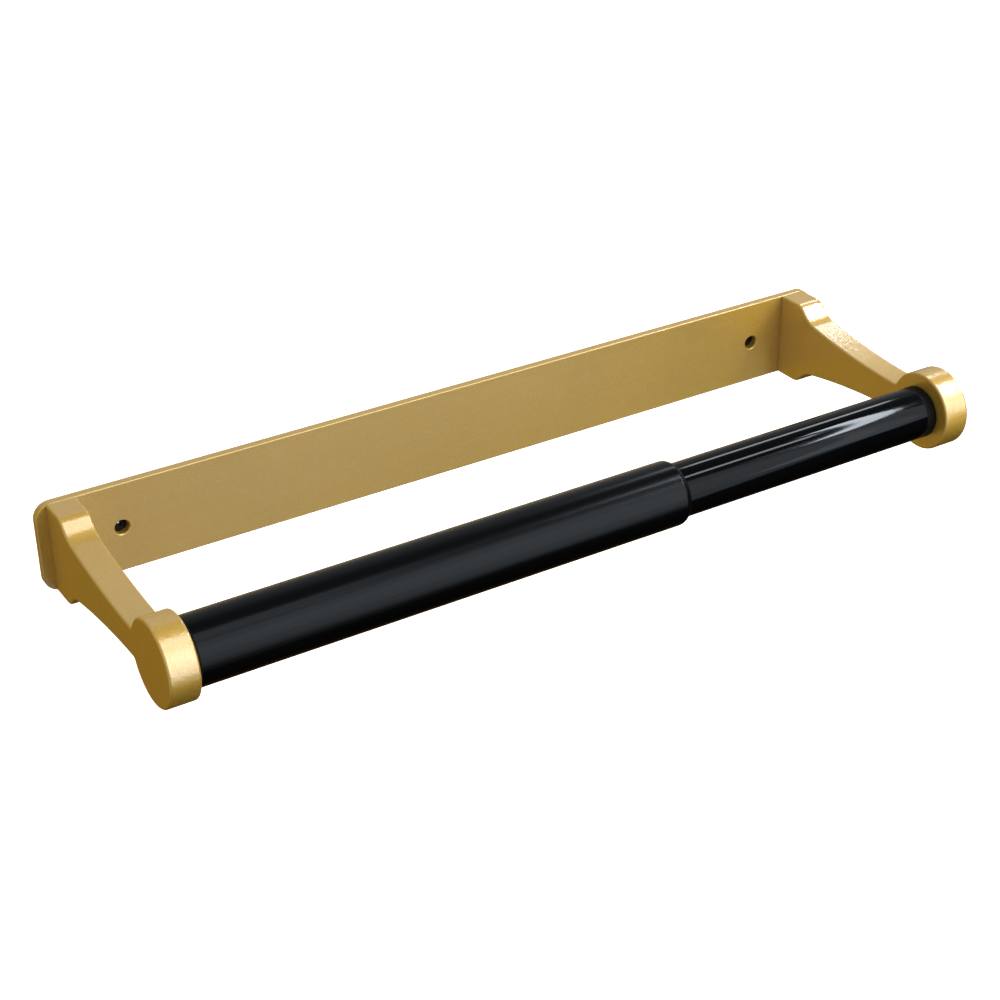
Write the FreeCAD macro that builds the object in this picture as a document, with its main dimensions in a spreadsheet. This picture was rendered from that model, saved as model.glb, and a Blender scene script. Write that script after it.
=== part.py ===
import FreeCAD, Part
import math
import os
import Sketcher
from FreeCAD import Placement, Rotation, Vector

# Wall-mounted kitchen roll holder: a plate with two arms, and a spring-loaded telescoping roller
# that turns on pins in the arms' discs. X runs along the roller, -Y comes out of the wall, Z is up.
# The origin is on the wall, behind the middle of the plate. All lengths are in millimetres.

DIMENSIONS = [
    ("pad_thick", 2.0, "foam pad between the wall and the plate"),
    ("pad_inset", 5.0, "plate edge to pad edge, above and below"),
    ("pad_corner", 5.0, "corner radius of the pad"),
    ("pad_long", 296.0, "length of the pad, which ends short of the arm screws"),
    ("pad_hole_dia", 1.6, "pilot hole in the pad, which the wall screw opens"),
    ("plate_long", 335.0, "length of the plate"),
    ("plate_high", 34.0, "height of the plate and of the arms' feet"),
    ("plate_thick", 3.0, "thickness of the plate"),
    ("plate_corner", 6.0, "corner radius of the plate"),
    ("edge_round", 0.35, "rounding of the plate's front edges"),
    ("wall_hole_dia", 5.5, "wall screw hole in the plate"),
    ("wall_hole_spacing", 275.0, "distance between the two wall screw holes"),
    ("hole_rim", 0.35, "chamfer at the wall screw holes"),
    ("arm_thick", 10.8, "thickness of an arm along the roller"),
    ("arm_inset", 4.1, "plate end to the arm's outer face"),
    ("arm_edge_round", 0.8, "rounding of the arms' edges"),
    ("foot_chamfer", 0.25, "chamfer round the foot where it meets the plate"),
    ("reach", 87.0, "back of the plate to the roller's axis"),
    ("disc_dia", 30.2, "disc that ends each arm"),
    ("foot_deep", 12.4, "back of the plate to the start of the shoulder"),
    ("shoulder_round", 6.0, "convex shoulder of the arm"),
    ("throat_round", 13.0, "concave throat below the shoulder"),
    ("taper_round", 275.0, "long hollow curve of the arm"),
    ("waist_at", 76.5, "back of the plate to the lowest point of the long curve"),
    ("waist_half", 5.6, "half height of the arm there"),
    ("disc_fillet", 1.6, "fillet between arm and disc"),
    ("socket_dia", 6.1, "pin socket in the disc"),
    ("socket_deep", 6.0, "depth of the pin socket"),
    ("socket_rim", 0.4, "chamfer at the mouth of the socket"),
    ("screw_dia", 4.0, "arm screw's thread"),
    ("screw_long", 12.0, "arm screw's length with its head"),
    ("screw_spread", 11.0, "arm screws above and below the middle"),
    ("screw_sink", 2.0, "depth of the countersink"),
    ("screw_head_drop", 0.1, "screw head below the plate's back"),
    ("screw_hole_dia", 4.5, "clearance hole for the arm screw in the plate"),
    ("screw_key", 2.5, "hexagon socket across its flats"),
    ("screw_key_deep", 1.3, "depth of the hexagon socket"),
    ("tap_deep", 10.5, "depth of the tapped hole in the arm"),
    ("side_gap", 0.3, "roller's end face to the arm"),
    ("outer_dia", 24.0, "outer roller tube"),
    ("outer_wall", 1.2, "wall of the outer tube"),
    ("inner_dia", 20.0, "inner roller tube"),
    ("inner_wall", 1.0, "wall of the inner tube"),
    ("slide_gap", 0.08, "radial clearance of the sliding fits"),
    ("mouth_at", 34.5, "where the outer tube's rolled mouth begins"),
    ("mouth_round", 3.0, "outside radius of the rolled mouth"),
    ("bush_long", 12.0, "bush behind the rolled mouth"),
    ("guide_long", 12.0, "head of the slide guide"),
    ("free_travel", 8.0, "how much further the roller opens when it is out of the arms"),
    ("outer_flange", 1.2, "flange of the outer end plug"),
    ("inner_flange", 4.4, "flange of the inner end plug"),
    ("flange_round", 0.5, "rounding of the plugs' rims"),
    ("plug_deep", 14.0, "plug inside its tube"),
    ("boss_dia", 13.0, "boss that centres the spring"),
    ("boss_long", 4.0, "length of that boss"),
    ("pin_dia", 6.0, "pivot pin"),
    ("pin_out", 5.3, "pin beyond the plug's face"),
    ("pin_in", 10.0, "pin inside the plug"),
    ("pin_tip", 0.6, "chamfer at the pin's tip"),
    ("spring_dia", 16.0, "spring's mean diameter"),
    ("wire_dia", 1.2, "spring wire"),
    ("spring_turns", 20.0, "turns of the spring"),
]

# Places that several pieces share, as formulas of the dimensions above.
PLACES = [
    ("axis_out", "pad_thick + reach", "wall to the roller's axis"),
    ("arm_inner", "plate_long / 2 - arm_inset - arm_thick", "middle to an arm's inner face"),
    ("roller_end", "arm_inner - side_gap", "middle to the roller's end face"),
    ("outer_bore", "outer_dia - 2 * outer_wall", "bore of the outer tube"),
    ("inner_bore", "inner_dia - 2 * inner_wall", "bore of the inner tube"),
    ("key_corner", "screw_key / sqrt(3)", "middle to corner of the screw's hexagon socket"),
    ("guide_back", "mouth_at - bush_long - free_travel - guide_long", "spring face of the slide guide"),
    ("spring_from", "-roller_end + outer_flange + plug_deep", "spring face of the outer end plug"),
]

SHEET = "dims"
LEAST_CUT = 1.0
SIGNS = ("-", "")
WALL_HOLES = [(f"{side}wall_hole_spacing / 2", "0") for side in SIGNS]


def make_sheet(doc):
    sheet = doc.addObject("Spreadsheet::Sheet", SHEET)
    for row, (alias, value, note) in enumerate(DIMENSIONS, start=1):
        sheet.set(f"A{row}", str(value))
        sheet.setAlias(f"A{row}", alias)
        sheet.set(f"B{row}", note)
    for row, (alias, formula, note) in enumerate(PLACES, start=len(DIMENSIONS) + 1):
        sheet.set(f"A{row}", f"={formula}")
        sheet.setAlias(f"A{row}", alias)
        sheet.set(f"B{row}", note)
    doc.recompute()
    return sheet


def formula(text):
    """Puts the sheet's name before each of its aliases in a formula."""
    words = []
    for word in text.split():
        bare = word.strip("()-")
        words.append(word.replace(bare, f"{SHEET}.{bare}") if bare[:1].isalpha() else word)
    return " ".join(words)


def number(sheet, text):
    """The value of a formula, for geometry that has to start near its solution."""
    return float(sheet.evalExpression(formula(text)))


# ---------------------------------------------------------------- sketch helpers

def origin_plane(body, role):
    return next(item for item in body.Origin.OriginFeatures if item.Role == role)


def new_body(doc, label):
    body = doc.addObject("PartDesign::Body", label)
    body.Label = label
    return body


def new_sketch(body, name, role, offset=None):
    sketch = body.newObject("Sketcher::SketchObject", name)
    sketch.AttachmentSupport = [(origin_plane(body, role), "")]
    sketch.MapMode = "FlatFace"
    if offset:
        sketch.setExpression(".AttachmentOffset.Base.z", formula(offset))
    return sketch


def constrain(sketch, joints, sizes):
    """Adds every constraint at once, so that the sketch is solved only from where it was drawn.
    A joint is a constraint with no value; a size is a formula followed by the constraint it drives."""
    sheet = sketch.Document.getObject(SHEET)
    constraints = [Sketcher.Constraint(*joint) for joint in joints]
    constraints += [Sketcher.Constraint(*size[1:], number(sheet, size[0])) for size in sizes]
    sketch.addConstraint(constraints)
    for index, size in enumerate(sizes, start=len(joints)):
        sketch.setExpression(f"Constraints[{index}]", formula(size[0]))


def sort_point(joints, sizes, geometry, vertex, across, up):
    """Ties one point to two formulas; a plain 0 puts it on the sketch's own axis."""
    if across == "0":
        joints.append(("PointOnObject", geometry, vertex, -2))
    else:
        sizes.append((across, "DistanceX", -1, 1, geometry, vertex))
    if up == "0":
        joints.append(("PointOnObject", geometry, vertex, -1))
    else:
        sizes.append((up, "DistanceY", -1, 1, geometry, vertex))


def draw_polygon(sketch, corners):
    """A closed outline of straight lines through (across, up) formulas."""
    sheet = sketch.Document.getObject(SHEET)
    points = [Vector(number(sheet, across), number(sheet, up), 0) for across, up in corners]
    count = len(points)
    joints = []
    sizes = []
    for index, (across, up) in enumerate(corners):
        sketch.addGeometry(Part.LineSegment(points[index], points[(index + 1) % count]))
        joints.append(("Coincident", index, 2, (index + 1) % count, 1))
        sort_point(joints, sizes, index, 1, across, up)
    constrain(sketch, joints, sizes)


def draw_circles(sketch, centres, diameter):
    """Circles of one diameter at (across, up) formulas."""
    sheet = sketch.Document.getObject(SHEET)
    joints = []
    sizes = []
    for across, up in centres:
        centre = Vector(number(sheet, across), number(sheet, up), 0)
        circle = Part.Circle(centre, Vector(0, 0, 1), number(sheet, diameter) / 2)
        index = sketch.addGeometry(circle)
        sort_point(joints, sizes, index, 3, across, up)
        sizes.append((diameter, "Diameter", index))
    constrain(sketch, joints, sizes)


def arc(centre, radius, start, end):
    """An arc that runs anticlockwise about its centre, from the start point to the end point."""
    circle = Part.Circle(centre, Vector(0, 0, 1), radius)
    first = math.atan2(start.y - centre.y, start.x - centre.x)
    last = math.atan2(end.y - centre.y, end.x - centre.x)
    return Part.ArcOfCircle(circle, first, last)


def meet(centre_a, radius_a, centre_b, radius_b, side):
    """Where two circles cross; side picks the crossing to the left (1) or right (-1) of a to b."""
    line = centre_b - centre_a
    span = line.Length
    along = (radius_a ** 2 - radius_b ** 2 + span ** 2) / (2 * span)
    across = math.sqrt(radius_a ** 2 - along ** 2)
    direction = line / span
    normal = Vector(-direction.y, direction.x, 0)
    return centre_a + direction * along + normal * (side * across)


def towards(start, target, distance):
    return start + (target - start).normalize() * distance


# ---------------------------------------------------------------- feature helpers

def pad(body, sketch, length, reverse=False):
    feature = body.newObject("PartDesign::Pad", "Pad")
    feature.Profile = sketch
    feature.setExpression("Length", formula(length))
    feature.Reversed = reverse
    return feature


def cut(body, sketch, depth, reverse=False):
    """A pocket; one that removes less than LEAST_CUT cubic millimetres points the wrong way."""
    before = solid_volume(body)
    feature = body.newObject("PartDesign::Pocket", "Pocket")
    feature.Profile = sketch
    feature.setExpression("Length", formula(depth))
    feature.Reversed = reverse
    if solid_volume(body) > before - LEAST_CUT:
        raise ValueError(f"{body.Label}: {sketch.Name} cuts nothing")


def solid_volume(body):
    body.Document.recompute()
    return body.Shape.Volume


def revolve(body, sketch):
    """Turns an outline about the body's X axis."""
    feature = body.newObject("PartDesign::Revolution", "Revolution")
    feature.Profile = sketch
    feature.ReferenceAxis = (sketch, ["H_Axis"])
    feature.Angle = 360.0


def edges_where(body, test):
    """Names of the edges of the body's shape whose middle point and curve pass a test."""
    body.Document.recompute()
    names = []
    for index, edge in enumerate(body.Shape.Edges, start=1):
        middle = edge.valueAt((edge.FirstParameter + edge.LastParameter) / 2)
        if test(middle, edge):
            names.append(f"Edge{index}")
    if not names:
        raise ValueError(f"{body.Label}: no edge to dress")
    return names


def dress(body, kind, size, test):
    """A Fillet or Chamfer on the edges that pass a test. The body still has to be at the origin."""
    names = edges_where(body, test)
    base = body.Tip
    feature = body.newObject(f"PartDesign::{kind}", kind)
    feature.Base = (base, names)
    feature.setExpression("Radius" if kind == "Fillet" else "Size", formula(size))
    body.Document.recompute()


def near(value, target):
    return abs(value - target) < 0.01


def is_round(edge, radius):
    return isinstance(edge.Curve, Part.Circle) and near(edge.Curve.Radius, radius)


def bind_place(body, across="0", out="0", up="0"):
    """Moves a finished body to its place; each coordinate is a formula."""
    for axis, text in (("x", across), ("y", out), ("z", up)):
        body.setExpression(f".Placement.Base.{axis}", formula(text))


# ---------------------------------------------------------------- plate and pad

def make_backplate(doc, sheet):
    body = new_body(doc, "backplate")
    outline = new_sketch(body, "PlateOutline", "XZ_Plane")
    draw_polygon(outline, [
        ("-plate_long / 2", "-plate_high / 2"),
        ("plate_long / 2", "-plate_high / 2"),
        ("plate_long / 2", "plate_high / 2"),
        ("-plate_long / 2", "plate_high / 2"),
    ])
    pad(body, outline, "plate_thick")
    thick = number(sheet, "plate_thick")
    dress(body, "Fillet", "plate_corner", lambda at, edge: near(at.y, -thick / 2))
    dress(body, "Fillet", "edge_round", lambda at, edge: near(at.y, -thick))

    holes = new_sketch(body, "WallHoles", "XZ_Plane")
    draw_circles(holes, WALL_HOLES, "wall_hole_dia")
    cut(body, holes, "plate_thick", reverse=True)
    hole_radius = number(sheet, "wall_hole_dia / 2")
    dress(body, "Chamfer", "hole_rim", lambda at, edge: near(at.y, -thick) and is_round(edge, hole_radius))

    sinks = new_sketch(body, "ArmScrewHoles", "XZ_Plane")
    centres = [(f"{side}(arm_inner + arm_thick / 2)", f"{end}screw_spread")
               for side in SIGNS for end in SIGNS]
    draw_circles(sinks, centres, "screw_hole_dia")
    cut(body, sinks, "plate_thick", reverse=True)
    screw_radius = number(sheet, "screw_hole_dia / 2")
    dress(body, "Chamfer", "screw_sink", lambda at, edge: near(at.y, 0) and is_round(edge, screw_radius))
    bind_place(body, out="-pad_thick")
    return body


def make_rear_pad(doc, sheet):
    body = new_body(doc, "rear_pad")
    thick = number(sheet, "pad_thick")
    outline = new_sketch(body, "PadOutline", "XZ_Plane")
    draw_polygon(outline, [
        ("-pad_long / 2", "-plate_high / 2 + pad_inset"),
        ("pad_long / 2", "-plate_high / 2 + pad_inset"),
        ("pad_long / 2", "plate_high / 2 - pad_inset"),
        ("-pad_long / 2", "plate_high / 2 - pad_inset"),
    ])
    pad(body, outline, "pad_thick")
    dress(body, "Fillet", "pad_corner", lambda at, edge: near(at.y, -thick / 2))
    holes = new_sketch(body, "PadHoles", "XZ_Plane")
    draw_circles(holes, WALL_HOLES, "pad_hole_dia")
    cut(body, holes, "pad_thick", reverse=True)
    return body


# ---------------------------------------------------------------- arms

def draw_arm_outline(sketch, sheet):
    """The upper half of the arm seen from its side: across is Y, up is Z. The arm is symmetric."""
    def value(text):
        return number(sheet, text)

    front = -value("plate_thick")
    top = value("plate_high / 2")
    shoulder_end = -value("foot_deep")
    r_shoulder = value("shoulder_round")
    r_throat = value("throat_round")
    r_taper = value("taper_round")
    r_fillet = value("disc_fillet")
    r_disc = value("disc_dia / 2")
    c_shoulder = Vector(shoulder_end, top - r_shoulder, 0)
    c_taper = Vector(-value("waist_at"), value("waist_half") + r_taper, 0)
    c_disc = Vector(-value("reach"), 0, 0)
    c_throat = meet(c_shoulder, r_shoulder + r_throat, c_taper, r_taper - r_throat, 1)
    c_fillet = meet(c_disc, r_disc + r_fillet, c_taper, r_taper - r_fillet, -1)

    foot = Vector(front, 0, 0)
    foot_top = Vector(front, top, 0)
    shoulder = Vector(shoulder_end, top, 0)
    turn = towards(c_shoulder, c_throat, r_shoulder)
    throat = towards(c_taper, c_throat, r_taper)
    waist = towards(c_taper, c_fillet, r_taper)
    disc_start = towards(c_disc, c_fillet, r_disc)
    nose = c_disc + Vector(-r_disc, 0, 0)

    up_line = sketch.addGeometry(Part.LineSegment(foot, foot_top))
    top_line = sketch.addGeometry(Part.LineSegment(foot_top, shoulder))
    shoulder_arc = sketch.addGeometry(arc(c_shoulder, r_shoulder, shoulder, turn))
    throat_arc = sketch.addGeometry(arc(c_throat, r_throat, throat, turn))
    taper_arc = sketch.addGeometry(arc(c_taper, r_taper, waist, throat))
    fillet_arc = sketch.addGeometry(arc(c_fillet, r_fillet, disc_start, waist))
    disc_arc = sketch.addGeometry(arc(c_disc, r_disc, disc_start, nose))
    base_line = sketch.addGeometry(Part.LineSegment(nose, foot))

    joints = [
        ("Coincident", up_line, 2, top_line, 1),
        ("Tangent", top_line, 2, shoulder_arc, 1),
        ("Tangent", shoulder_arc, 2, throat_arc, 2),
        ("Tangent", throat_arc, 1, taper_arc, 2),
        ("Tangent", taper_arc, 1, fillet_arc, 2),
        ("Tangent", fillet_arc, 1, disc_arc, 1),
        ("Coincident", disc_arc, 2, base_line, 1),
        ("Coincident", base_line, 2, up_line, 1),
        ("Vertical", up_line),
        ("Horizontal", top_line),
        ("PointOnObject", base_line, 1, -1),
        ("PointOnObject", base_line, 2, -1),
        ("PointOnObject", disc_arc, 3, -1),
    ]
    sizes = [
        ("-plate_thick", "DistanceX", -1, 1, up_line, 2),
        ("plate_high / 2", "DistanceY", -1, 1, up_line, 2),
        ("-foot_deep", "DistanceX", -1, 1, top_line, 2),
        ("-waist_at", "DistanceX", -1, 1, taper_arc, 3),
        ("waist_half + taper_round", "DistanceY", -1, 1, taper_arc, 3),
        ("-reach", "DistanceX", -1, 1, disc_arc, 3),
        ("shoulder_round", "Radius", shoulder_arc),
        ("throat_round", "Radius", throat_arc),
        ("taper_round", "Radius", taper_arc),
        ("disc_fillet", "Radius", fillet_arc),
        ("disc_dia / 2", "Radius", disc_arc),
    ]
    constrain(sketch, joints, sizes)


def make_arm(doc, sheet, label):
    """One arm, with its inner face on the body's YZ plane and its bulk on the -X side."""
    body = new_body(doc, label)
    outline = new_sketch(body, "ArmOutline", "YZ_Plane")
    draw_arm_outline(outline, sheet)
    half = pad(body, outline, "arm_thick", reverse=True)
    doc.recompute()
    mirror = body.newObject("PartDesign::Mirrored", "OtherHalf")
    mirror.Originals = [half]
    mirror.MirrorPlane = (origin_plane(body, "XY_Plane"), [""])
    mirror.Refine = True
    body.Tip = mirror
    thick = number(sheet, "arm_thick")
    front = -number(sheet, "plate_thick")
    dress(body, "Fillet", "arm_edge_round",
          lambda at, edge: (near(at.x, 0) or near(at.x, -thick)) and not near(at.y, front))
    dress(body, "Chamfer", "foot_chamfer", lambda at, edge: near(at.y, front))

    socket = new_sketch(body, "PinSocket", "YZ_Plane")
    draw_circles(socket, [("-reach", "0")], "socket_dia")
    cut(body, socket, "socket_deep")
    socket_radius = number(sheet, "socket_dia / 2")
    dress(body, "Chamfer", "socket_rim", lambda at, edge: near(at.x, 0) and is_round(edge, socket_radius))

    taps = new_sketch(body, "TappedHoles", "XZ_Plane", offset="plate_thick")
    draw_circles(taps, [("-arm_thick / 2", f"{end}screw_spread") for end in SIGNS], "screw_dia")
    cut(body, taps, "tap_deep", reverse=True)
    return body


def make_arms(doc, sheet):
    """The right arm is the left arm turned half a turn about the vertical middle line of its side."""
    left = make_arm(doc, sheet, "left_arm")
    bind_place(left, "-arm_inner", "-pad_thick")
    right = make_arm(doc, sheet, "right_arm")
    right.Placement = Placement(Vector(), Rotation(Vector(0, 1, 0), 180))
    bind_place(right, "arm_inner", "-pad_thick")
    return [left, right]


def make_arm_screw(doc, label, across, up):
    """Countersunk socket screw that goes in from the plate's back; it is turned about its own X axis."""
    body = new_body(doc, label)
    profile = new_sketch(body, "ScrewProfile", "XY_Plane")
    head_radius = "screw_hole_dia / 2 + screw_sink - screw_head_drop"
    neck = "screw_hole_dia / 2 + screw_sink - screw_dia / 2"
    draw_polygon(profile, [
        ("screw_head_drop", "0"),
        ("screw_head_drop", head_radius),
        (neck, "screw_dia / 2"),
        ("screw_long - 0.5", "screw_dia / 2"),
        ("screw_long", "screw_dia / 2 - 0.5"),
        ("screw_long", "0"),
    ])
    revolve(body, profile)
    doc.recompute()
    key = new_sketch(body, "KeySocket", "YZ_Plane", offset="screw_head_drop")
    draw_hexagon(key, "key_corner")
    cut(body, key, "screw_key_deep", reverse=True)
    body.Placement = Placement(Vector(), Rotation(Vector(0, 0, 1), -90))
    bind_place(body, across, "-pad_thick", up)
    return body


def draw_hexagon(sketch, corner):
    """A regular hexagon about the sketch's origin; corner is the formula of its middle-to-corner size."""
    radius = number(sketch.Document.getObject(SHEET), corner)
    points = [Vector(radius * math.cos(k * math.pi / 3), radius * math.sin(k * math.pi / 3), 0)
              for k in range(6)]
    for k in range(6):
        sketch.addGeometry(Part.LineSegment(points[k], points[(k + 1) % 6]))
    guide = sketch.addGeometry(Part.Circle(Vector(), Vector(0, 0, 1), radius), True)
    joints = [("Coincident", guide, 3, -1, 1), ("Horizontal", 1)]
    for k in range(6):
        joints.append(("Coincident", k, 2, (k + 1) % 6, 1))
        joints.append(("PointOnObject", k, 1, guide))
    for k in range(5):
        joints.append(("Equal", k, k + 1))
    constrain(sketch, joints, [(corner, "Radius", guide)])


def make_arm_screws(doc):
    screws = []
    for side, sign in (("left", "-"), ("right", "")):
        for end, lift in (("upper", ""), ("lower", "-")):
            across = f"{sign}(arm_inner + arm_thick / 2)"
            screws.append(make_arm_screw(doc, f"{side}_arm_screw_{end}", across, f"{lift}screw_spread"))
    return screws


# ---------------------------------------------------------------- roller

def turned(doc, label, corners):
    """A piece turned about the roller's axis from a closed outline of (along X, radius) formulas."""
    body = new_body(doc, label)
    profile = new_sketch(body, "Profile", "XY_Plane")
    draw_polygon(profile, corners)
    revolve(body, profile)
    return body


def on_axis(body):
    bind_place(body, out="-axis_out")
    return body


def make_outer_tube(doc, sheet):
    """Tube with a rolled-in mouth: two concentric arcs bend the wall in until the bore cuts them."""
    body = new_body(doc, "outer_tube")
    sketch = new_sketch(body, "Profile", "XY_Plane")
    start = number(sheet, "-roller_end + outer_flange")
    mouth = number(sheet, "mouth_at")
    outside = number(sheet, "outer_dia / 2")
    inside = number(sheet, "outer_bore / 2")
    lip = number(sheet, "inner_dia / 2 + slide_gap")
    bend = number(sheet, "mouth_round")
    thin = bend - number(sheet, "outer_wall")
    centre = Vector(mouth, outside - bend, 0)
    lip_up = lip - centre.y
    lip_front = Vector(mouth + math.sqrt(bend ** 2 - lip_up ** 2), lip, 0)
    lip_back = Vector(mouth + math.sqrt(thin ** 2 - lip_up ** 2), lip, 0)
    corners = [Vector(start, inside, 0), Vector(start, outside, 0), Vector(mouth, outside, 0),
               lip_front, lip_back, Vector(mouth, inside, 0)]

    end_line = sketch.addGeometry(Part.LineSegment(corners[0], corners[1]))
    outer_line = sketch.addGeometry(Part.LineSegment(corners[1], corners[2]))
    outer_arc = sketch.addGeometry(arc(centre, bend, lip_front, corners[2]))
    lip_line = sketch.addGeometry(Part.LineSegment(lip_front, lip_back))
    inner_arc = sketch.addGeometry(arc(centre, thin, lip_back, corners[5]))
    inner_line = sketch.addGeometry(Part.LineSegment(corners[5], corners[0]))
    joints = [
        ("Coincident", end_line, 2, outer_line, 1),
        ("Tangent", outer_line, 2, outer_arc, 2),
        ("Coincident", outer_arc, 1, lip_line, 1),
        ("Coincident", lip_line, 2, inner_arc, 1),
        ("Tangent", inner_arc, 2, inner_line, 1),
        ("Coincident", inner_line, 2, end_line, 1),
        ("Vertical", end_line),
        ("Horizontal", outer_line),
        ("Horizontal", lip_line),
        ("Horizontal", inner_line),
    ]
    sizes = [
        ("-roller_end + outer_flange", "DistanceX", -1, 1, end_line, 2),
        ("outer_dia / 2", "DistanceY", -1, 1, end_line, 2),
        ("outer_bore / 2", "DistanceY", -1, 1, end_line, 1),
        ("mouth_at", "DistanceX", -1, 1, outer_line, 2),
        ("mouth_at", "DistanceX", -1, 1, inner_line, 1),
        ("inner_dia / 2 + slide_gap", "DistanceY", -1, 1, lip_line, 1),
        ("mouth_round", "Radius", outer_arc),
        ("mouth_round - outer_wall", "Radius", inner_arc),
    ]
    constrain(sketch, joints, sizes)
    revolve(body, sketch)
    return on_axis(body)


def make_inner_tube(doc):
    near_end = "guide_back + guide_long"
    far_end = "roller_end - inner_flange"
    return on_axis(turned(doc, "inner_tube", [
        (near_end, "inner_bore / 2"),
        (far_end, "inner_bore / 2"),
        (far_end, "inner_dia / 2"),
        (near_end, "inner_dia / 2"),
    ]))


def make_outer_end_plug(doc, sheet):
    """Plug of the outer tube: rim, body, and a boss that centres the spring."""
    face = "-roller_end"
    body = turned(doc, "outer_end_plug", [
        (face, "pin_dia / 2"),
        (face, "outer_dia / 2"),
        (f"{face} + outer_flange", "outer_dia / 2"),
        (f"{face} + outer_flange", "outer_bore / 2"),
        ("spring_from", "outer_bore / 2"),
        ("spring_from", "boss_dia / 2"),
        ("spring_from + boss_long", "boss_dia / 2"),
        ("spring_from + boss_long", "0"),
        (f"{face} + pin_in", "0"),
        (f"{face} + pin_in", "pin_dia / 2"),
    ])
    round_rim(body, sheet, "-roller_end", "outer_dia / 2")
    return on_axis(body)


def make_inner_end_plug(doc, sheet):
    """Plug of the inner tube: a deep rim that shows beside the arm, and its body in the tube."""
    face = "roller_end"
    body = turned(doc, "inner_end_plug", [
        (face, "pin_dia / 2"),
        (face, "inner_dia / 2"),
        (f"{face} - inner_flange", "inner_dia / 2"),
        (f"{face} - inner_flange", "inner_bore / 2"),
        (f"{face} - inner_flange - plug_deep", "inner_bore / 2"),
        (f"{face} - inner_flange - plug_deep", "0"),
        (f"{face} - pin_in", "0"),
        (f"{face} - pin_in", "pin_dia / 2"),
    ])
    round_rim(body, sheet, "roller_end", "inner_dia / 2")
    return on_axis(body)


def round_rim(body, sheet, face, radius):
    at_x = number(sheet, face)
    rim = number(sheet, radius)
    dress(body, "Fillet", "flange_round", lambda at, edge: near(at.x, at_x) and is_round(edge, rim))


def make_pivot_pin(doc, label, sign):
    """Steel pin pressed into a plug; sign is the end of the roller it stands out of."""
    inner = f"{sign}(roller_end - pin_in)"
    outer = f"{sign}(roller_end + pin_out)"
    shoulder = f"{sign}(roller_end + pin_out - pin_tip)"
    return on_axis(turned(doc, label, [
        (inner, "0"),
        (inner, "pin_dia / 2"),
        (shoulder, "pin_dia / 2"),
        (outer, "pin_dia / 2 - pin_tip"),
        (outer, "0"),
    ]))


def make_mouth_bush(doc):
    """Nylon ring behind the rolled mouth: it guides the inner tube and stops the slide guide."""
    return on_axis(turned(doc, "mouth_bush", [
        ("mouth_at - bush_long", "inner_dia / 2 + slide_gap"),
        ("mouth_at", "inner_dia / 2 + slide_gap"),
        ("mouth_at", "outer_bore / 2"),
        ("mouth_at - bush_long", "outer_bore / 2"),
    ]))


def make_slide_guide(doc):
    """Nylon head on the hidden end of the inner tube; the spring pushes on its back."""
    front = "guide_back + guide_long"
    return on_axis(turned(doc, "slide_guide", [
        ("guide_back - boss_long", "0"),
        ("guide_back - boss_long", "boss_dia / 2"),
        ("guide_back", "boss_dia / 2"),
        ("guide_back", "outer_bore / 2 - slide_gap"),
        (front, "outer_bore / 2 - slide_gap"),
        (front, "inner_bore / 2"),
        (f"{front} + plug_deep", "inner_bore / 2"),
        (f"{front} + plug_deep", "0"),
    ]))


def make_spring(doc):
    """Open coil between the outer end plug and the slide guide."""
    body = new_body(doc, "roller_spring")
    wire = new_sketch(body, "Wire", "XY_Plane")
    draw_circles(wire, [("spring_from + wire_dia / 2", "spring_dia / 2")], "wire_dia")
    coil = body.newObject("PartDesign::AdditiveHelix", "Coil")
    coil.Profile = wire
    coil.ReferenceAxis = (wire, ["H_Axis"])
    coil.Mode = "height-turns-angle"
    coil.setExpression("Height", formula("guide_back - spring_from - wire_dia"))
    coil.setExpression("Turns", formula("spring_turns"))
    return on_axis(body)


# ---------------------------------------------------------------- build and write

def build(doc):
    sheet = make_sheet(doc)
    bodies = [make_backplate(doc, sheet), make_rear_pad(doc, sheet)]
    bodies += make_arms(doc, sheet)
    bodies += make_arm_screws(doc)
    bodies.append(make_outer_tube(doc, sheet))
    bodies.append(make_outer_end_plug(doc, sheet))
    bodies.append(make_pivot_pin(doc, "outer_pivot_pin", "-"))
    bodies.append(make_mouth_bush(doc))
    bodies.append(make_inner_tube(doc))
    bodies.append(make_inner_end_plug(doc, sheet))
    bodies.append(make_pivot_pin(doc, "inner_pivot_pin", ""))
    bodies.append(make_slide_guide(doc))
    bodies.append(make_spring(doc))
    doc.recompute()
    return bodies


def check(doc, bodies):
    for item in doc.Objects:
        if "Invalid" in item.State or "Error" in item.State:
            raise RuntimeError(f"{item.Name} did not compute: {item.State}")
    for body in bodies:
        if body.Shape.isNull() or not body.Shape.isValid() or len(body.Shape.Solids) != 1:
            raise RuntimeError(f"{body.Label} is not one valid solid")


def write(bodies):
    os.makedirs("parts", exist_ok=True)
    for body in bodies:
        body.Shape.exportStep(os.path.join("parts", f"{body.Label}.step"))
        box = body.Shape.BoundBox
        print(f"{body.Label}: {box.XLength:.1f} x {box.YLength:.1f} x {box.ZLength:.1f} mm, "
              f"{body.Shape.Volume:.0f} mm3")


document = FreeCAD.newDocument("kitchen_roll_holder")
made = build(document)
check(document, made)
write(made)
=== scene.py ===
"""Looks of the wall-mounted kitchen roll holder: its finishes, its spring, the studio and the camera."""
import math

import bpy
from mathutils import Matrix, Vector


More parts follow.
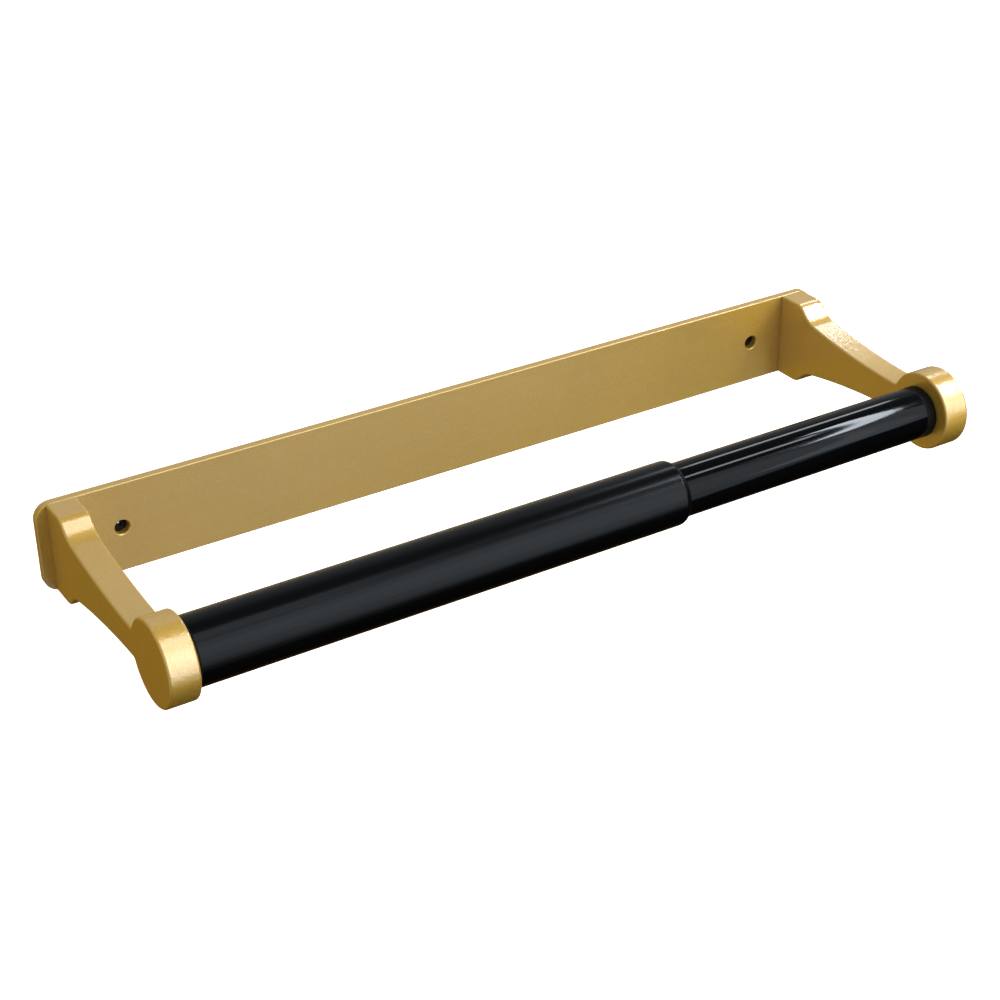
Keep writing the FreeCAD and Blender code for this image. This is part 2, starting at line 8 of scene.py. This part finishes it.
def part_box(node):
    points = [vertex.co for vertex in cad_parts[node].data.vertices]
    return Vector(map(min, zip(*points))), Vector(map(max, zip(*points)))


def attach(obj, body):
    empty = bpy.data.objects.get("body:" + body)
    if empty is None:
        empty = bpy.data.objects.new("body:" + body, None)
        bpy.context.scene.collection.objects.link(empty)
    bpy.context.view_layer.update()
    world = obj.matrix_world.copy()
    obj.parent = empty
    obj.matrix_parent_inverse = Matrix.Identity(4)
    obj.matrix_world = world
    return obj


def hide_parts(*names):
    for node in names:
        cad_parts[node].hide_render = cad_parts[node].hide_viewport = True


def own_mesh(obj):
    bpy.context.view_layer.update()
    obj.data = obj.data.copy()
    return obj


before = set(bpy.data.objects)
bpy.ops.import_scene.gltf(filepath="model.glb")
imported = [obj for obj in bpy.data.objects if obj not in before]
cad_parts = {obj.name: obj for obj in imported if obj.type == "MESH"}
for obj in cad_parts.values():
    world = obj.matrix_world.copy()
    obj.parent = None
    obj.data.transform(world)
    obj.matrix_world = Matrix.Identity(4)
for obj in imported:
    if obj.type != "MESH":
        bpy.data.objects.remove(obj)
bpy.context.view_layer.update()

MM = 0.001

# ---------------------------------------------------------------- places read from the frame
TUBE_LOW, TUBE_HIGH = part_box("outer_tube")
SPRING_LOW, SPRING_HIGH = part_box("roller_spring")
ARM_LOW, ARM_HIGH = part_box("right_arm")
AXIS_Y = (TUBE_LOW.y + TUBE_HIGH.y) / 2
AXIS_Z = (TUBE_LOW.z + TUBE_HIGH.z) / 2
ARM_X = (ARM_LOW.x + ARM_HIGH.x) / 2     # the middle of the right arm

# ---------------------------------------------------------------- colours, scene-linear
GOLD = (0.76, 0.475, 0.056)
GOLD_PALE = (0.78, 0.530, 0.100)
GOLD_DEEP = (0.60, 0.355, 0.040)
# painted glint: the pale specks painted into the gold's colour
GOLD_PAINTED_GLINT = (0.90, 0.78, 0.42)
BLACK = (0.0018, 0.0020, 0.0024)
BLACK_WORN = (0.006, 0.0066, 0.0075)
LACQUER_TINT = (0.80, 0.91, 1.0)
PLASTIC = (0.006, 0.006, 0.006)
PLASTIC_PALE = (0.011, 0.011, 0.011)
FOAM = (0.010, 0.010, 0.011)
# painted shade: the darker colour in the foam's pits
FOAM_PIT_SHADE = (0.004, 0.004, 0.004)
NYLON = (0.80, 0.77, 0.69)
NYLON_DULL = (0.72, 0.69, 0.60)
STEEL = (0.56, 0.56, 0.57)
PIN_MARKS = (0.36, 0.36, 0.38)
ZINC_MARKS = (0.42, 0.44, 0.48)
WIRE_MARKS = (0.25, 0.25, 0.27)
FLOOR_WHITE = (0.9, 0.9, 0.9)
WHITE = (1.0, 1.0, 1.0)

# ---------------------------------------------------------------- camera and studio
CAMERA_PLACE = (-0.3415, -0.5881, 0.3484)
CAMERA_AZIMUTH = -31.523     # degrees, as the elevation and the roll are
CAMERA_ELEVATION = 29.364
CAMERA_ROLL = -0.828
CAMERA_LENS = 72.38          # millimetres, as the sensor's width is
SENSOR = 36.0
CLIP_NEAR = 0.01
CLIP_FAR = 200.0
FLOOR_Z = -0.60
FLOOR_SIZE = 80.0
FLOOR_ROUGHNESS = 0.9
FLOOR_GLOW = 1.0
ROOM_LIGHT = 0.48
ROOM_COLOUR = (0.99, 1.0, 1.03)
# Where the room is darker or warmer. Each shade is centred on a direction: it starts at the first cosine
# to it, is full at the second, and there multiplies the room's colour by its own.
ROOM_SHADES = [((0.45, -0.60, -0.66), 0.20, 0.80, (0.08, 0.075, 0.07)),
               ((0.30, -0.05, 0.95), 0.75, 0.95, (0.35, 0.35, 0.35)),
               ((-0.50, 0.70, -0.50), 0.20, 0.80, (0.90, 0.64, 0.14)),
               ((0.30, 0.30, -0.90), 0.30, 0.80, (0.28, 0.18, 0.05))]
LIGHT_DISTANCE = 3.0
ENERGY_A_SQUARE_METRE = 4.0  # what a softbox takes for a brightness of 1
# Each softbox: its name, the place along the roller that it faces, its lowest and highest angle from the
# roller's +X axis, its lowest and highest turn about that axis from the front upwards, and its brightness.
# The first three lie one inside the other, so that together they fade outwards.
SOFTBOXES = [("key_wide", 0.0, (49, 86), (-27, 60), 0.96),
             ("key_middle", 0.0, (50.5, 82), (-17, 52), 0.80),
             ("key_centre", 0.0, (52, 78), (1, 36), 0.50),
             ("key_high_left", 0.0, (68, 88), (58, 80), 1.7),
             ("key_low_left", 0.0, (66, 88), (-40, -22), 0.25),
             ("key_right", ARM_X, (47.5, 54.0), (-5, 60), 2.0),
             ("strip_front", 0.070, (53.5, 58.8), (73.5, 80.5), 14.0),
             ("window_right", 0.120, (51.3, 53.0), (48, 90), 36.0),
             ("strip_rear", 0.090, (51.0, 58.5), (120, 128), 9.0)]


# ---------------------------------------------------------------- material building
# The colour sockets of a Mix node, which shares its socket names between data types.
MIX_FIRST = 6
MIX_SECOND = 7
MIX_RESULT = 2


class Finish:
    """A material under construction: adds nodes and links them by name."""

    def __init__(self, name):
        self.material = bpy.data.materials.new(name)
        self.material.use_nodes = True
        self.nodes = self.material.node_tree.nodes
        self.links = self.material.node_tree.links
        self.shader = self.nodes["Principled BSDF"]
        self.place = self.add("ShaderNodeTexCoord").outputs["Object"]

    def add(self, kind, inputs=None, **settings):
        """One node, with its settings and its inputs. An input is a value or another node's output."""
        node = self.nodes.new(kind)
        for key, value in settings.items():
            setattr(node, key, value)
        for key, value in (inputs or {}).items():
            self.feed(node.inputs[key], value)
        return node

    def feed(self, socket, value):
        """Links the socket to another node's output, or sets it to the value."""
        if isinstance(value, bpy.types.NodeSocket):
            self.links.new(value, socket)
        elif socket.type == "RGBA" and len(value) == 3:
            socket.default_value = (*value, 1.0)
        else:
            socket.default_value = value

    def set(self, **values):
        """Constants and links on the shader, such as set(Roughness=0.3, Base_Color=colour)."""
        for key, value in values.items():
            self.feed(self.shader.inputs[key.replace("_", " ")], value)

    def noise(self, scale, stretch=(1, 1, 1), detail=2.0, roughness=0.5):
        """Noise with scale times stretch cells a metre along each axis, so a small stretch draws it out."""
        mapped = self.add("ShaderNodeMapping", {"Vector": self.place, "Scale": stretch}).outputs["Vector"]
        return self.add("ShaderNodeTexNoise", {"Vector": mapped, "Scale": scale, "Detail": detail,
                                               "Roughness": roughness}).outputs["Fac"]

    def spread(self, value, low, high, to_low=0.0, to_high=1.0):
        """value from low..high mapped to to_low..to_high, and kept inside it."""
        return self.add("ShaderNodeMapRange", {"Value": value, "From Min": low, "From Max": high,
                                               "To Min": to_low, "To Max": to_high}).outputs["Result"]

    def math(self, operation, first, second):
        """The Math node's result for the two inputs."""
        node = self.add("ShaderNodeMath", operation=operation)
        self.feed(node.inputs[0], first)
        self.feed(node.inputs[1], second)
        return node.outputs[0]

    def mix(self, factor, first, second):
        """first where factor is 0 and second where it is 1, both colours."""
        node = self.add("ShaderNodeMix", data_type="RGBA")
        self.feed(node.inputs["Factor"], factor)
        self.feed(node.inputs[MIX_FIRST], first)
        self.feed(node.inputs[MIX_SECOND], second)
        return node.outputs[MIX_RESULT]

    def bump(self, height, depth, strength):
        """A surface raised by height times depth, in metres."""
        inputs = {"Height": height, "Distance": depth, "Strength": strength}
        return self.add("ShaderNodeBump", inputs).outputs["Normal"]


def gold(name, brushed):
    """Gold-anodised aluminium with a fine grain and pale specks painted into its colour as glints. It is
    brushed along the plate, or mottled by blasting.
    """
    f = Finish(name)
    grain = f.noise(1300.0, detail=3.0, roughness=0.65)
    # sparse pale specks painted into the colour: painted glints of the grain
    painted_glints = f.spread(f.noise(2300.0, detail=1.0), 0.58, 0.80)
    cloud = f.noise(28.0, detail=3.0)
    colour = f.mix(f.spread(cloud, 0.3, 0.7, 0.0, 0.30), GOLD, GOLD_DEEP)
    colour = f.mix(f.spread(grain, 0.35, 0.70, 0.0, 0.45), colour, GOLD_PALE)
    colour = f.mix(f.math("MULTIPLY", painted_glints, 0.5), colour, GOLD_PAINTED_GLINT)
    if brushed:
        lines = f.noise(900.0, stretch=(0.012, 1.0, 1.0), detail=4.0, roughness=0.7)
        colour = f.mix(f.spread(lines, 0.42, 0.72, 0.0, 0.35), colour, GOLD_PALE)
        relief = f.bump(f.math("ADD", grain, f.math("MULTIPLY", lines, 1.2)), 0.04 * MM, 0.6)
        f.set(Coat_Roughness=0.22, Coat_IOR=2.25)
    else:
        mottle = f.noise(520.0, detail=3.0)
        relief = f.bump(f.math("ADD", grain, f.math("MULTIPLY", mottle, 1.6)), 0.07 * MM, 0.7)
        f.set(Coat_Roughness=0.18, Coat_IOR=2.40)
    f.set(Base_Color=colour, Metallic=0.65, Normal=relief, Specular_IOR_Level=0.2,
          Roughness=f.spread(grain, 0.3, 0.7, 0.52, 0.64), Coat_Weight=1.0, Coat_Normal=relief)
    return f.material


def satin_black(name):
    """Satin black powder coat: a fine orange peel, with faint rub marks along the tube."""
    f = Finish(name)
    peel = f.noise(1100.0, detail=2.0)
    rubs = f.spread(f.noise(420.0, stretch=(0.03, 1.0, 1.0), detail=4.0, roughness=0.7), 0.55, 0.8)
    patches = f.spread(f.noise(45.0, detail=2.0), 0.4, 0.7)
    worn = f.math("MULTIPLY", f.math("MULTIPLY", rubs, patches), 0.6)
    rough = f.math("ADD", f.spread(peel, 0.3, 0.7, 0.17, 0.21), f.math("MULTIPLY", worn, 0.10))
    f.set(Base_Color=f.mix(worn, BLACK, BLACK_WORN), Roughness=rough, Normal=f.bump(peel, 0.012 * MM, 0.15),
          Specular_IOR_Level=0.16, Specular_Tint=LACQUER_TINT)
    return f.material


def gloss_black(name):
    """Gloss black lacquer on the thin tube, over the faint rings that its polishing leaves."""
    f = Finish(name)
    rings = f.spread(f.noise(2400.0, stretch=(1.0, 0.02, 0.02), detail=2.0), 0.55, 0.8)
    haze = f.noise(60.0, detail=3.0)
    ripple = f.noise(260.0, detail=1.0)
    rough = f.math("ADD", f.spread(haze, 0.3, 0.7, 0.035, 0.06), f.math("MULTIPLY", rings, 0.02))
    f.set(Base_Color=f.mix(f.math("MULTIPLY", rings, 0.3), BLACK, BLACK_WORN), Roughness=rough,
          Normal=f.bump(ripple, 0.01 * MM, 0.2), Specular_IOR_Level=0.12, Specular_Tint=LACQUER_TINT)
    return f.material


def plastic(name, colour, cloud_colour):
    """Moulded nylon: a fine spark-eroded grain and a slightly uneven colour."""
    f = Finish(name)
    grain = f.noise(1900.0, detail=2.0)
    cloud = f.noise(120.0, detail=2.0)
    f.set(Base_Color=f.mix(f.spread(cloud, 0.3, 0.7, 0.0, 0.4), colour, cloud_colour),
          Roughness=f.spread(grain, 0.3, 0.7, 0.42, 0.56), Normal=f.bump(grain, 0.02 * MM, 0.4),
          Specular_IOR_Level=0.05)
    return f.material


def steel(name, stretch, mark_colour):
    """Turned or drawn steel. Its tool marks run along the axes where stretch is small."""
    f = Finish(name)
    marks = f.noise(2200.0, stretch=stretch, detail=3.0, roughness=0.6)
    f.set(Base_Color=f.mix(f.spread(marks, 0.3, 0.7), STEEL, mark_colour), Metallic=1.0,
          Roughness=f.spread(marks, 0.3, 0.7, 0.22, 0.38), Normal=f.bump(marks, 0.01 * MM, 0.4))
    return f.material


def foam(name):
    """Closed-cell foam: small pits with a dull skin, the pits painted darker as painted shade in the hollows.
    """
    f = Finish(name)
    cells = f.add("ShaderNodeTexVoronoi", {"Vector": f.place, "Scale": 1600.0}).outputs["Distance"]
    # the pits are painted darker: painted shade in the hollows
    f.set(Base_Color=f.mix(f.spread(cells, 0.0, 0.6), FOAM_PIT_SHADE, FOAM),
          Roughness=f.spread(cells, 0.0, 0.6, 0.95, 0.8), Normal=f.bump(cells, 0.12 * MM, 0.6),
          Specular_IOR_Level=0.25)
    return f.material


def paint(material, *nodes):
    """Gives those CAD nodes the material, in every slot they have."""
    for node in nodes:
        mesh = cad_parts[node].data
        if not mesh.materials:
            mesh.materials.append(material)
        for index in range(len(mesh.materials)):
            mesh.materials[index] = material


def paint_cad_nodes():
    paint(gold("blasted_gold", brushed=False), "left_arm", "right_arm")
    paint(gold("brushed_gold", brushed=True), "backplate")
    paint(satin_black("satin_black"), "outer_tube")
    paint(gloss_black("gloss_black"), "inner_tube")
    paint(plastic("black_nylon", PLASTIC, PLASTIC_PALE), "outer_end_plug", "inner_end_plug")
    paint(plastic("pale_nylon", NYLON, NYLON_DULL), "mouth_bush", "slide_guide")
    paint(steel("turned_pin_steel", (1.0, 0.02, 0.02), PIN_MARKS), "outer_pivot_pin", "inner_pivot_pin")
    paint(steel("zinc_screw_steel", (0.3, 1.0, 0.3), ZINC_MARKS),
          *[side + "_arm_screw_" + level for side in ("left", "right") for level in ("upper", "lower")])
    paint(foam("closed_cell_foam"), "rear_pad")
    paint(steel("spring_wire", (0.1, 1.0, 1.0), WIRE_MARKS), "roller_spring")


# ---------------------------------------------------------------- the roller's spring
SPRING_WIRE = 0.6 * MM       # radius
SPRING_TURNS = 20
DEAD_TURNS = 1.0             # closed turns at each end
SIDES = 10                   # of the wire's cross-section
STEPS_A_TURN = 36


def coil_line(length, radius):
    """The wire's centre line along +X: closed end turns, and open turns between them."""
    steps = SPRING_TURNS * STEPS_A_TURN
    closed = DEAD_TURNS / SPRING_TURNS
    dead_length = DEAD_TURNS * 2 * SPRING_WIRE
    points = []
    for step in range(steps + 1):
        part = step / steps
        if part < closed:
            x = dead_length * part / closed
        elif part > 1 - closed:
            x = length - dead_length * (1 - part) / closed
        else:
            x = dead_length + (length - 2 * dead_length) * (part - closed) / (1 - 2 * closed)
        turn = 2 * math.pi * SPRING_TURNS * part
        points.append(Vector((x, radius * math.cos(turn), radius * math.sin(turn))))
    return points


def tube_mesh(name, line, radius):
    """A closed round tube of that radius along the line, with its cross-sections square to it."""
    verts = []
    for index, point in enumerate(line):
        ahead = (line[min(index + 1, len(line) - 1)] - line[max(index - 1, 0)]).normalized()
        outward = Vector((0, point.y, point.z)).normalized()
        side = ahead.cross(outward).normalized()
        outward = side.cross(ahead)
        for corner in range(SIDES):
            angle = 2 * math.pi * corner / SIDES
            verts.append(point + radius * (math.cos(angle) * outward + math.sin(angle) * side))
    faces = []
    for ring in range(len(line) - 1):
        for corner in range(SIDES):
            here = ring * SIDES + corner
            beside = ring * SIDES + (corner + 1) % SIDES
            faces.append((here, here + SIDES, beside + SIDES, beside))
    last = (len(line) - 1) * SIDES
    faces.append(tuple(range(SIDES)))
    faces.append(tuple(last + corner for corner in reversed(range(SIDES))))
    mesh = bpy.data.meshes.new(name)
    mesh.from_pydata(verts, [], faces)
    mesh.polygons.foreach_set("use_smooth", [True] * len(mesh.polygons))
    mesh.update()
    return mesh


def make_spring():
    """The roller's compression spring: a coil of wire that takes the CAD spring's place and moves with the
    outer roller.
    """
    length = SPRING_HIGH.x - SPRING_LOW.x - 2 * SPRING_WIRE
    radius = (SPRING_HIGH.z - SPRING_LOW.z) / 2 - SPRING_WIRE
    mesh = tube_mesh("roller_spring_coil", coil_line(length, radius), SPRING_WIRE)
    mesh.transform(Matrix.Translation((SPRING_LOW.x + SPRING_WIRE, AXIS_Y, AXIS_Z)))
    mesh.materials.append(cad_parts["roller_spring"].data.materials[0])
    spring = bpy.data.objects.new("roller_spring_coil", mesh)
    bpy.context.scene.collection.objects.link(spring)
    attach(spring, "outer_roller")
    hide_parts("roller_spring")
    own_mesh(spring)


# ---------------------------------------------------------------- studio
def make_camera():
    """The camera, at the photograph's viewing angle."""
    azimuth, elevation, roll = (math.radians(a) for a in (CAMERA_AZIMUTH, CAMERA_ELEVATION, CAMERA_ROLL))
    ahead = Vector((-math.sin(azimuth) * math.cos(elevation), math.cos(azimuth) * math.cos(elevation),
                    -math.sin(elevation)))
    level_right = ahead.cross(Vector((0, 0, 1))).normalized()
    level_up = level_right.cross(ahead)
    right = math.cos(roll) * level_right + math.sin(roll) * level_up
    up = right.cross(ahead)
    data = bpy.data.cameras.new("camera")
    data.lens = CAMERA_LENS
    data.sensor_width = SENSOR
    data.dof.use_dof = False
    data.clip_start = CLIP_NEAR
    data.clip_end = CLIP_FAR
    camera = bpy.data.objects.new("camera", data)
    turn = Matrix((right, up, -ahead)).transposed().to_4x4()
    camera.matrix_world = Matrix.Translation(CAMERA_PLACE) @ turn
    bpy.context.scene.collection.objects.link(camera)
    bpy.context.scene.camera = camera


def make_floor():
    """A plain white floor far below the holder. It glows, so that it looks evenly white, and it neither
    lights the holder nor shows in its reflections."""
    mesh = bpy.data.meshes.new("floor")
    half = FLOOR_SIZE / 2
    corners = [(-half, -half, FLOOR_Z), (half, -half, FLOOR_Z), (half, half, FLOOR_Z), (-half, half, FLOOR_Z)]
    mesh.from_pydata(corners, [], [(0, 1, 2, 3)])
    f = Finish("floor_white")
    f.set(Base_Color=FLOOR_WHITE, Roughness=FLOOR_ROUGHNESS, Emission_Color=WHITE,
          Emission_Strength=FLOOR_GLOW)
    mesh.materials.append(f.material)
    floor = bpy.data.objects.new("floor", mesh)
    bpy.context.scene.collection.objects.link(floor)
    floor.visible_diffuse = False
    floor.visible_glossy = False


def make_world():
    """What the camera sees past the floor is white. What lights the holder is a grey room, darkest below the
    front, dim overhead, and tinted gold at the lower left rear and underneath."""
    world = bpy.data.worlds.new("studio")
    bpy.context.scene.world = world
    world.use_nodes = True
    nodes = world.node_tree.nodes
    links = world.node_tree.links
    way = nodes.new("ShaderNodeTexCoord").outputs["Generated"]
    room = nodes["Background"]
    room.inputs["Strength"].default_value = ROOM_LIGHT
    colour = None
    for toward, start, end, kept in ROOM_SHADES:
        facing = nodes.new("ShaderNodeVectorMath")
        facing.operation = "DOT_PRODUCT"
        links.new(way, facing.inputs[0])
        facing.inputs[1].default_value = Vector(toward).normalized()
        shade = nodes.new("ShaderNodeMapRange")
        shade.interpolation_type = "SMOOTHSTEP"
        shade.inputs["From Min"].default_value = start
        shade.inputs["From Max"].default_value = end
        links.new(facing.outputs["Value"], shade.inputs["Value"])
        tint = nodes.new("ShaderNodeMix")
        tint.data_type = "RGBA"
        tint.blend_type = "MULTIPLY"
        links.new(shade.outputs["Result"], tint.inputs["Factor"])
        tint.inputs[MIX_FIRST].default_value = (*ROOM_COLOUR, 1.0)
        if colour is not None:
            links.new(colour, tint.inputs[MIX_FIRST])
        tint.inputs[MIX_SECOND].default_value = (*kept, 1.0)
        colour = tint.outputs[MIX_RESULT]
    links.new(colour, room.inputs["Color"])
    white = nodes.new("ShaderNodeBackground")
    white.inputs["Color"].default_value = (*WHITE, 1.0)
    seen = nodes.new("ShaderNodeLightPath")
    mix = nodes.new("ShaderNodeMixShader")
    links.new(seen.outputs["Is Camera Ray"], mix.inputs["Fac"])
    links.new(room.outputs["Background"], mix.inputs[1])
    links.new(white.outputs["Background"], mix.inputs[2])
    links.new(mix.outputs["Shader"], nodes["World Output"].inputs["Surface"])


def softbox(name, beside, along, around, brightness):
    """A rectangular softbox facing the roller at x = beside. along is the angle from the roller's +X axis,
    and around the turn about that axis from the front upwards, each its lowest and highest in degrees."""
    swing = math.radians((along[0] + along[1]) / 2)
    turn = math.radians((around[0] + around[1]) / 2)
    away = Vector((math.cos(swing), -math.sin(swing) * math.cos(turn), math.sin(swing) * math.sin(turn)))
    side = (Vector((1, 0, 0)) - away * away.x).normalized()
    top = away.cross(side)
    width = 2 * LIGHT_DISTANCE * math.tan(math.radians(along[1] - along[0]) / 2)
    height = 2 * LIGHT_DISTANCE * math.tan(math.radians(around[1] - around[0]) * math.sin(swing) / 2)
    data = bpy.data.lights.new(name, "AREA")
    data.shape = "RECTANGLE"
    data.size = width
    data.size_y = height
    data.energy = ENERGY_A_SQUARE_METRE * brightness * width * height
    light = bpy.data.objects.new(name, data)
    turn_to_roller = Matrix((side, top, away)).transposed().to_4x4()
    place = Vector((beside, AXIS_Y, AXIS_Z)) + away * LIGHT_DISTANCE
    light.matrix_world = Matrix.Translation(place) @ turn_to_roller
    bpy.context.scene.collection.objects.link(light)


def make_lights():
    for box in SOFTBOXES:
        softbox(*box)


bpy.context.scene.view_settings.view_transform = "Standard"
make_camera()
make_world()
make_floor()
make_lights()
paint_cad_nodes()
make_spring()
